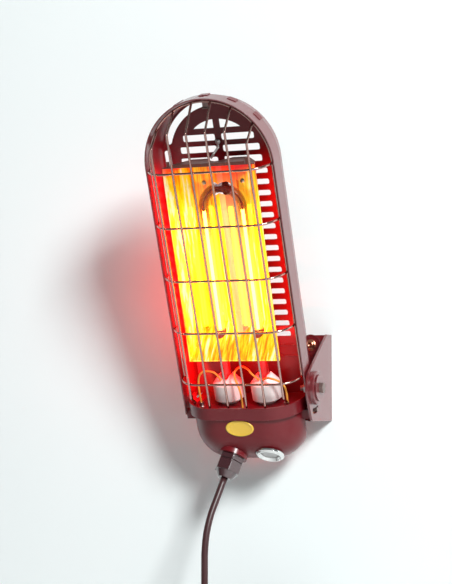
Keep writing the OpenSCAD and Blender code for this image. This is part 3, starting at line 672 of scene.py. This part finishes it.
    def _ridge(self, tree: bpy.types.NodeTree) -> bpy.types.NodeSocket:
        """One on the right face of the reflector's middle ridge, where a dull painted reflection of the
        room replaces the painted filament.

        Args:
            tree: the material's node tree.

        Returns:
            The mask's socket.
        """
        geo = tree.nodes.new("ShaderNodeNewGeometry")
        normal = tree.nodes.new("ShaderNodeSeparateXYZ")
        place = tree.nodes.new("ShaderNodeSeparateXYZ")
        coord = tree.nodes.new("ShaderNodeTexCoord")
        tree.links.new(geo.outputs["Normal"], normal.inputs["Vector"])
        tree.links.new(coord.outputs["Object"], place.inputs["Vector"])
        right = math_node(tree, "GREATER_THAN", normal.outputs["X"], 0.3)
        away = math_node(tree, "SUBTRACT", place.outputs["X"], RIDGE_X)
        away = math_node(tree, "ABSOLUTE", away, 0.0)
        inner = math_node(tree, "LESS_THAN", away, RIDGE_HALF)
        return math_node(tree, "MULTIPLY", math_node(tree, "MULTIPLY", right, inner), RIDGE_DULL)


class Finishes:
    """All the heater's materials, built from one table."""

    TABLE: tuple[Finish, ...] = (
        Finish("red_enamel", (0.13, 0.004, 0.008), (0.16, 0.006, 0.011), 0.4, 0.1, 900, 0.04,
               coat=0.5, worn=1.5, gloss=0.25),
        Finish("side_enamel", (0.13, 0.006, 0.01), (0.16, 0.008, 0.013), 0.4, 0.1, 900, 0.04,
               coat=0.95, worn=1.5, gloss=0.25, coat_ior=2.0),
        Finish("cup_enamel", (0.13, 0.004, 0.008), (0.16, 0.006, 0.011), 0.38, 0.1, 900, 0.04,
               coat=0.4, worn=1.0, gloss=0.25),
        # The guard's chrome is coloured pinkish brown: a painted reflection of the red glow and the
        # room.
        Finish("chrome_wire", (0.55, 0.34, 0.3), (0.45, 0.26, 0.23), 0.16, 0.1, 500, 0.02, 1.0,
               edge=0.0002),
        Finish("chrome_ring", (0.86, 0.85, 0.84), (0.76, 0.75, 0.74), 0.1, 0.08, 500, 0.02, 1.0,
               edge=0.0003),
        # The reflector's glow is a painted reflection of the filament, not a lamp.
        Finish("polished_reflector", (0.86, 0.56, 0.16), (0.8, 0.42, 0.08), 0.16, 0.12, 120, 0.1,
               1.0, edge=0.0004, glow=(1.0, 0.26, 0.005), glow_strength=1.0, top_band=(0.17, 0.215),
               top_color=(0.75, 0.03, 0.03), fade=0.45, streaky=True),
        Finish("dull_sheet", (0.26, 0.12, 0.1), (0.2, 0.08, 0.07), 0.42, 0.15, 500, 0.05, 0.85,
               edge=0.0005),
        # The lamp feet's red glow is painted light from the lamp above them, not a lamp of their own.
        Finish("lamp_foot", (0.3, 0.02, 0.02), (0.2, 0.01, 0.01), 0.3, 0.15, 300, 0.04, coat=0.6,
               edge=0.0003, glow=(0.8, 0.004, 0.01), glow_strength=0.22),
        Finish("zinc_steel", (0.55, 0.53, 0.52), (0.42, 0.4, 0.4), 0.34, 0.15, 600, 0.04, 1.0,
               edge=0.0005),
        Finish("bolt_steel", (0.3, 0.22, 0.2), (0.2, 0.13, 0.12), 0.38, 0.15, 600, 0.04, 0.7,
               edge=0.0005),
        Finish("hot_quartz", (0.8, 0.25, 0.12), (0.7, 0.16, 0.06), 0.05, 0.02, 60, 0.02,
               alpha=0.32, edge=0.0001, glow=(1.0, 0.36, 0.03), glow_strength=3.2,
               top_band=(0.125, 0.17), top_color=(0.3, 0.03, 0.02)),
        Finish("glowing_coil", (1.0, 0.6, 0.3), (1.0, 0.5, 0.2), 0.5, 0.05, 300, 0.0, edge=0.0001,
               glow=(1.0, 0.42, 0.03), glow_strength=42.0),
        Finish("white_ceramic", (0.86, 0.8, 0.78), (0.78, 0.7, 0.68), 0.45, 0.15, 300, 0.06,
               coat=0.25, edge=0.001),
        Finish("lead_sleeve", (0.85, 0.36, 0.05), (0.7, 0.26, 0.03), 0.75, 0.1, 1500, 0.4,
               edge=0.0002),
        Finish("black_nylon", (0.035, 0.003, 0.006), (0.05, 0.005, 0.009), 0.12, 0.05, 500, 0.02,
               coat=1.0, edge=0.0008, coat_ior=1.9),
        Finish("satin_black", (0.035, 0.03, 0.03), (0.05, 0.04, 0.04), 0.5, 0.1, 700, 0.08,
               edge=0.0008),
        Finish("cable_rubber", (0.045, 0.012, 0.014), (0.06, 0.02, 0.022), 0.38, 0.1, 900, 0.1,
               edge=0.0002),
        Finish("seal_rubber", (0.03, 0.028, 0.028), (0.04, 0.035, 0.035), 0.8, 0.1, 700, 0.1),
        Finish("bare_badge", (0.84, 0.53, 0.05), (0.78, 0.46, 0.04), 0.28, 0.06, 200, 0.02,
               coat=0.6, edge=0.0004),
        Finish("copper_screw", (0.75, 0.33, 0.2), (0.6, 0.25, 0.15), 0.3, 0.12, 500, 0.04, 1.0,
               edge=0.0004),
    )

    def __init__(self, effects: Effects) -> None:
        """Builds every material.

        Args:
            effects: the shared shader groups.
        """
        self.made = {f.name: f.build(effects) for f in self.TABLE}

    def dress(self, obj: bpy.types.Object, name: str, slot: str | None = None) -> None:
        """Gives a piece one material.

        Args:
            obj: the piece.
            name: the finish's name.
            slot: the record's slot for a new piece; not used.
        """
        obj.data.materials.clear()
        obj.data.materials.append(self.made[name])


# The CAD nodes that wear each finish
FINISH_NODES: dict[str, tuple[str, ...]] = {
    "side_enamel": ("wall_bracket", "pivot_disc", "pivot_washer", "housing_band"),
    "bolt_steel": ("pivot_bolt", "stop_pin", "apex_clip", "side_screws"),
    "zinc_steel": (
        "pivot_spacer", "pivot_nut", "reflector_posts", "reflector_rivets", "top_hook",
        "lead_eyelets", "switch_button", "switch_locknut", "plug_pins",
    ),
    "red_enamel": ("back_panel", "panel_tabs", "base_collar"),
    "polished_reflector": ("reflector",),
    "dull_sheet": ("reflector_cap", "lamp_bridge"),
    "lamp_foot": ("lamp_ends",),
    "lead_sleeve": ("lamp_leads",),
    "hot_quartz": ("lamp_tube",),
    "glowing_coil": ("lamp_coil",),
    "white_ceramic": ("lamp_holder_left", "lamp_holder_right", "terminal_block"),
    "cup_enamel": ("lamp_shelf", "base_cup"),
    "chrome_wire": ("wire_guard",),
    "black_nylon": ("gland_body", "gland_nut", "gland_locknut"),
    "seal_rubber": ("gland_seal",),
    "chrome_ring": ("switch_bezel",),
    "satin_black": ("cord_tie", "plug_body"),
}


# Sub-assemblies


@dataclass
class MainsCord:
    """The lead that hangs from the gland and ends in a tied coil with its plug."""

    route: tuple[Vec, ...] = (
        (-41.0, -71.0, -106.1), (-42.2, -73.5, -111.4), (-43.8, -76.8, -118.5), (-45.8, -80.9, -127.4),
        (-47.8, -85.1, -136.3), (-49.2, -87.8, -142.7), (-50.3, -90.2, -149.4), (-51.2, -92.2, -156.2),
        (-52.0, -93.7, -163.2), (-52.5, -94.8, -170.3), (-52.8, -95.4, -177.4), (-53.0, -96.0, -185.0),
        (-53.0, -96.0, -201.0), (-53.0, -96.0, -218.0), (-53.0, -96.0, -235.0), (-53.0, -96.0, -252.0),
        (-53.0, -96.0, -269.0), (-53.0, -96.0, -292.8),
    )
    diameter: float = 7.2
    wind_r: float = 54.0
    turns: int = 3
    pitch: float = 7.8
    tail: float = 26.0
    steps: int = 24
    centre: Vec = (1.0, -96.0, -300.0)
    sides: int = 12

    def centreline(self) -> np.ndarray:
        """The whole route: the hanging lead, a spiral inwards, a climb and a spiral outwards.

        Returns:
            Points in metres. In the coil, turn n has radius R minus pitch times n up to the
            middle and grows back after it, and the layer climbs by a cosine step half way.
        """
        n = np.linspace(0, 2 * self.turns, 2 * self.turns * self.steps + 1)
        r = self.wind_r - self.pitch * np.where(n < self.turns, n, 2 * self.turns - n)
        s = np.clip(2 * (n - self.turns) + 0.5, 0, 1)
        climb = self.pitch * (1 - np.cos(np.pi * s)) / 2
        centre = np.array(self.centre)
        a = TURN * n
        coil = centre + np.stack([-r * np.cos(a), climb, -r * np.sin(a)], axis=1)
        out = centre + np.array([[-self.wind_r, self.pitch, -z] for z in (9.0, 18.0, self.tail)])
        return np.vstack([np.array(self.route), coil, out]) * MM

    def build(self, finishes: Finishes, nodes: dict[str, bpy.types.Object]) -> bpy.types.Object:
        """Args:
            finishes: the materials.
            nodes: the CAD nodes by name; not used.

        Returns:
            The cable.
        """
        path = self.centreline()
        verts, faces = tube(path, self.diameter / 2 * MM, self.sides)
        obj = make_piece("mains_cable", verts, faces, Body.HEATER)
        finishes.dress(obj, "cable_rubber", "cable")
        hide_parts("cord_lead", "cord_coil")
        return obj


@dataclass
class LampLeads:
    """The sleeved leads that arch from the holders to their eyelets in the shelf."""

    leg: float = 21.3
    low: float = -24.0
    sleeve: float = 2.2
    steps: int = 9
    sides: int = 12

    def curve(self, points: np.ndarray) -> np.ndarray:
        """A smooth line through points.

        Args:
            points: rows of x, y, z.

        Returns:
            Points on a Catmull-Rom curve: each span blends its two ends by the cubic
            0.5 * (2b + (c - a)t + (2a - 5b + 4c - d)t^2 + (3b - a - 3c + d)t^3).
        """
        p = np.vstack([2 * points[0] - points[1], points, 2 * points[-1] - points[-2]])
        t = np.linspace(0, 1, self.steps, endpoint=False)[:, None]
        spans = []
        for a, b, c, d in zip(p[:-3], p[1:-2], p[2:-1], p[3:]):
            square = (2 * a - 5 * b + 4 * c - d) * t**2
            cube = (3 * b - a - 3 * c + d) * t**3
            spans.append(0.5 * (2 * b + (c - a) * t + square + cube))
        return np.vstack([*spans, points[-1:]])

    def build(self, frame: HeaterFrame, finishes: Finishes) -> bpy.types.Object:
        """Makes the three leads as one piece in the place of the solid ones.

        Args:
            frame: the heater's frame.
            finishes: the materials.

        Returns:
            The leads.
        """
        x = self.leg
        routes = (
            [(-x - 2, -12, 14), (-x - 8, -15, 24), (-x - 20, -17, 25), (-48, -16, 12),
             (-48, -16, self.low)],
            [(x - 2, -12, 14), (x - 8, -15, 22), (9, -14, 27), (0, -10, 28), (-6, -16, 22), (0, -21, 4),
             (0, -21, -14.5)],
            [(x + 2, -12, 14), (x + 12, -17, 18), (48, -16, 8), (48, -16, self.low)],
        )
        verts, faces, count = [], [], 0
        for route in routes:
            path = frame.place(self.curve(np.array(route, float)))
            v, f = tube(path, self.sleeve / 2 * MM, self.sides)
            verts.append(v)
            faces.extend([[i + count for i in face] for face in f])
            count += len(v)
        obj = make_piece("lead_sleeves", np.vstack(verts), faces, Body.HEATER)
        finishes.dress(obj, "lead_sleeve", "lead")
        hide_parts("lamp_leads")
        return obj


@dataclass
class Badge:
    """A bare oval plate on the cup's front."""

    centre: tuple[float, float] = (0.0, -30.0)
    half: tuple[float, float] = (15.6, 8.9)
    cup_front: float = 37.2
    thick: float = 1.0
    steps: int = 72

    def build(self, frame: HeaterFrame, finishes: Finishes) -> bpy.types.Object:
        """Makes the plate: an ellipse with a rounded rim and a shallow inner field.

        Args:
            frame: the heater's frame.
            finishes: the materials.

        Returns:
            The plate.
        """
        s = np.array([1.0, 1.0, 0.97, 0.92, 0.86, 0.83, 0.8, 0.4, 0.02])
        h = np.array([0.0, 0.55, 0.9, 1.0, 0.92, 0.7, 0.62, 0.62, 0.62]) * self.thick
        a = np.linspace(0, TURN, self.steps, endpoint=False)
        x = self.centre[0] + self.half[0] * s[:, None] * np.cos(a)
        z = self.centre[1] + self.half[1] * s[:, None] * np.sin(a)
        y = -self.cup_front - h[:, None] + 0.0 * a
        verts = frame.place(np.stack([x, y, z], axis=2).reshape(-1, 3))
        faces = [f[::-1] for f in capped_rings(len(s), self.steps)]
        obj = make_piece("oval_badge", verts, faces, Body.HEATER)
        finishes.dress(obj, "bare_badge", "paint")
        return obj


@dataclass
class WallScrews:
    """Pan-head screws with washers in the plate's four holes."""

    half: tuple[float, float] = (32.0, 35.5)
    plate: float = 2.5
    head_r: float = 4.6
    steps: int = 32

    def build(self, finishes: Finishes) -> list[bpy.types.Object]:
        """Turns a washer and a domed head at each hole.

        Args:
            finishes: the materials.

        Returns:
            The screws.
        """
        prof = np.array([
            [0.02, 0.0], [6.2, 0.0], [6.2, 0.9], [5.9, 1.1], [self.head_r, 1.1],
            [self.head_r, 2.2], [4.2, 3.0], [3.2, 3.6], [1.8, 3.95], [1.4, 3.2], [0.02, 3.2],
        ]) * MM
        made = []
        for i, (sx, sz) in enumerate(((1, 1), (-1, 1), (1, -1), (-1, -1))):
            origin = np.array([sx * self.half[0], -self.plate, sz * self.half[1]]) * MM
            verts, faces = lathe(prof, origin, np.array([0.0, -1.0, 0.0]), self.steps)
            obj = make_piece(f"wall_screw_{i}", verts, faces, Body.BRACKET)
            finishes.dress(obj, "copper_screw", "steel")
            made.append(obj)
        return made


# Stage


@dataclass
class Studio:
    """White wall and floor, a soft key from the right, the lamp's red light, and the camera."""

    position: Vec = (0.6120, -1.7033, -0.02525)
    yaw: float = 21.745
    pitch: float = 3.762
    lens: float = 102.5

    def build(self) -> None:
        """Builds camera, wall, floor, world and lights."""
        self._camera()
        self._surfaces()
        self._world()
        self._lights()

    def _camera(self) -> None:
        """Sets the fitted camera: looking along the yaw, pitched up a little."""
        data = bpy.data.cameras.new("photo_camera")
        data.lens = self.lens
        data.sensor_width = 36.0
        data.clip_start = 0.05
        cam = bpy.data.objects.new("photo_camera", data)
        cam.location = self.position
        cam.rotation_euler = (math.radians(90 + self.pitch), 0.0, math.radians(self.yaw))
        bpy.context.scene.collection.objects.link(cam)
        bpy.context.scene.camera = cam

    def _surface(self, name: str, corners: list[Vec], color: Vec) -> None:
        """One stage plane.

        Args:
            name: its name.
            corners: its corners in order.
            color: its colour.
        """
        mesh = bpy.data.meshes.new(name)
        mesh.from_pydata(corners, [], [(0, 1, 2, 3)])
        obj = bpy.data.objects.new(name, mesh)
        bpy.context.scene.collection.objects.link(obj)
        mat = bpy.data.materials.new(name)
        mat.use_nodes = True
        shader = mat.node_tree.nodes["Principled BSDF"]
        shader.inputs["Base Color"].default_value = (*color, 1.0)
        shader.inputs["Roughness"].default_value = 0.9
        shader.inputs["Specular IOR Level"].default_value = 0.1
        obj.data.materials.append(mat)
        obj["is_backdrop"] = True

    def _surfaces(self) -> None:
        """A wall at y = 0 and a floor well below the plug."""
        w, low, top = 3.0, -1.1, 2.2
        wall = [(-w, 0.0, low), (w, 0.0, low), (w, 0.0, top), (-w, 0.0, top)]
        floor = [(-w, -w, low), (w, -w, low), (w, 0.0, low), (-w, 0.0, low)]
        self._surface("stage_wall", wall, (0.86, 0.885, 0.885))
        self._surface("stage_floor", floor, (0.8, 0.8, 0.8))

    def _world(self) -> None:
        """A plain white world that fills the shadows."""
        world = bpy.data.worlds.new("studio")
        bpy.context.scene.world = world
        world.use_nodes = True
        back = world.node_tree.nodes["Background"]
        back.inputs["Color"].default_value = (0.96, 0.99, 1.0, 1.0)
        back.inputs["Strength"].default_value = 0.15

    def _area(
        self, name: str, at: Vec, aim: Vec, size: tuple[float, float], power: float, color: Vec
    ) -> bpy.types.Object:
        """One rectangular area light.

        Args:
            name: its name.
            at: its place.
            aim: the point it faces.
            size: width and height in metres.
            power: watts.
            color: its colour.

        Returns:
            The light.
        """
        data = bpy.data.lights.new(name, "AREA")
        data.shape = "RECTANGLE"
        data.size, data.size_y = size
        data.energy = power
        data.color = color
        obj = bpy.data.objects.new(name, data)
        obj.location = at
        way = Vector(aim) - Vector(at)
        obj.rotation_euler = way.to_track_quat("-Z", "Y").to_euler()
        bpy.context.scene.collection.objects.link(obj)
        return obj

    def _lights(self) -> None:
        """The key from the right, and the lamp's own red light on housing and wall."""
        white = (0.95, 1.0, 1.0)
        self._area("key_right", (1.95, -2.2, 1.52), (0.0, -0.1, 0.05), (0.75, 0.75), 136.0, white)
        red = (1.0, 0.012, 0.01)
        self._glow("glow_left_wall", (-56, 2, 135), (-90, 2, 135), (0.016, 0.2), 0.24, red)
        self._glow("glow_right_panel", (57, 4, 145), (62, 40, 145), (0.012, 0.18), 0.13, red)
        self._glow("glow_under_flap", (-2, -14, 43), (-2, 24, 22), (0.09, 0.006), 0.11, red)
        warm = (1.0, 0.05, 0.03)
        self._glow("glow_left_side", (-71.5, 15, 62), (-112, 60, 46), (0.012, 0.23), 0.17, warm)
        self._glow("glow_gland", (-8, 12, -62), (-12, 60, -60), (0.05, 0.012), 0.012, red)

    def _glow(
        self, name: str, at: Vec, aim: Vec, size: tuple[float, float], power: float, color: Vec
    ) -> None:
        """An area light given in the heater's own frame, long along the housing.

        Args:
            name: its name.
            at: its place in mm in the heater's frame.
            aim: the point it faces, in the same frame.
            size: width and height in metres.
            power: watts.
            color: its colour.
        """
        ends = HeaterFrame().place(np.array([at, aim, (0, 0, 0), (0, 0, 1)]))
        lamp = self._area(name, tuple(ends[0].tolist()), tuple(ends[1].tolist()), size, power, color)
        back = Vector((ends[0] - ends[1]).tolist()).normalized()
        side = Vector((ends[3] - ends[2]).tolist()).cross(back).normalized()
        turn = Matrix((side, back.cross(side), back)).transposed()
        lamp.rotation_euler = turn.to_euler()


class Heater:
    """The whole heater: the frame's nodes with their finishes, and the pieces that only show."""

    def __init__(self) -> None:
        """Loads the frame and makes the materials."""
        self.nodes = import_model()["nodes"]
        self.cad_box = [list(v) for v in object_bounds()]
        self.frame = HeaterFrame()
        self.finishes = Finishes(Effects())

    def build(self) -> None:
        """Makes every piece in order, the cord first."""
        MainsCord().build(self.finishes, self.nodes)
        for finish, names in FINISH_NODES.items():
            for name in names:
                self.finishes.dress(self.nodes[name], finish)
            LOG.info("%d nodes wear %s", len(names), finish)
        LampLeads().build(self.frame, self.finishes)
        Badge().build(self.frame, self.finishes)
        WallScrews().build(self.finishes)


def main() -> None:
    """Builds the stage's camera first, then the heater."""
    logging.basicConfig(level=logging.INFO, format="%(message)s")
    bpy.context.scene.view_settings.view_transform = "Standard"
    Studio().build()
    heater = Heater()
    heater.build()


if __name__ == "__main__":
    main()
